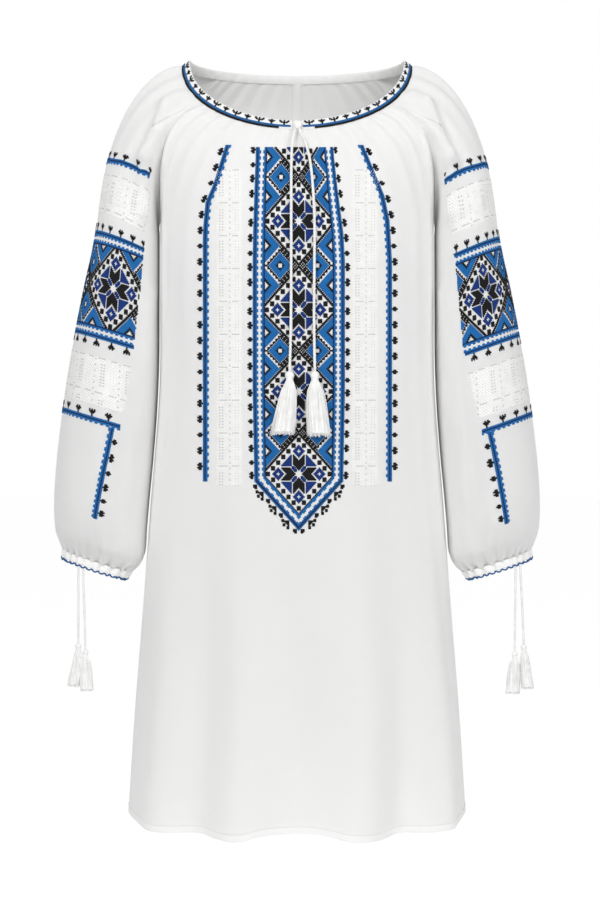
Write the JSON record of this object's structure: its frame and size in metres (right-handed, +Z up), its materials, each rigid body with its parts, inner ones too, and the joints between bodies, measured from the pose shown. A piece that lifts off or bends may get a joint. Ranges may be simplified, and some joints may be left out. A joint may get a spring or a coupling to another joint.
{
  "type": "embroidered folk tunic",
  "caption": "Knee-length folk tunic in worn form, open at neck, hem and cuffs, with raglan sleeves, a gathered neck band and tasselled ties.",
  "frame": {"origin": "where a wearer's shoulders hold it up, midway between the two highest points of the neck", "axes": "+X across the garment towards the sleeve that is on the right seen from the front, -Y out of its front, +Z up"},
  "size_m": [0.628, 0.2788, 0.9824],
  "materials": {
    "linen": "soft white plain-weave linen-cotton",
    "linen_facing": "white plain weave, turned inwards",
    "embroidery": "cotton cross stitch in blues, black and white",
    "cord_yarn": "white twisted cotton cord",
    "tassel_yarn": "white loose cotton yarn"
  },
  "bodies": {
    "root": {"front": "linen", "back": "linen", "back_strip": "linen_facing", "sleeve_left": "linen", "sleeve_right": "linen", "cuff_left": "linen", "cuff_right": "linen", "neck_band": "embroidery", "neck_knot": "cord_yarn", "neck_cord_left": "cord_yarn", "neck_cord_right": "cord_yarn", "cuff_cord_left_outer": "cord_yarn", "cuff_cord_left_inner": "cord_yarn", "cuff_cord_right_inner": "cord_yarn", "cuff_cord_right_outer": "cord_yarn", "neck_tassel_left": "tassel_yarn", "neck_tassel_right": "tassel_yarn", "cuff_tassel_left_outer": "tassel_yarn", "cuff_tassel_left_inner": "tassel_yarn", "cuff_tassel_right_inner": "tassel_yarn", "cuff_tassel_right_outer": "tassel_yarn"}
  },
  "joints": []
}
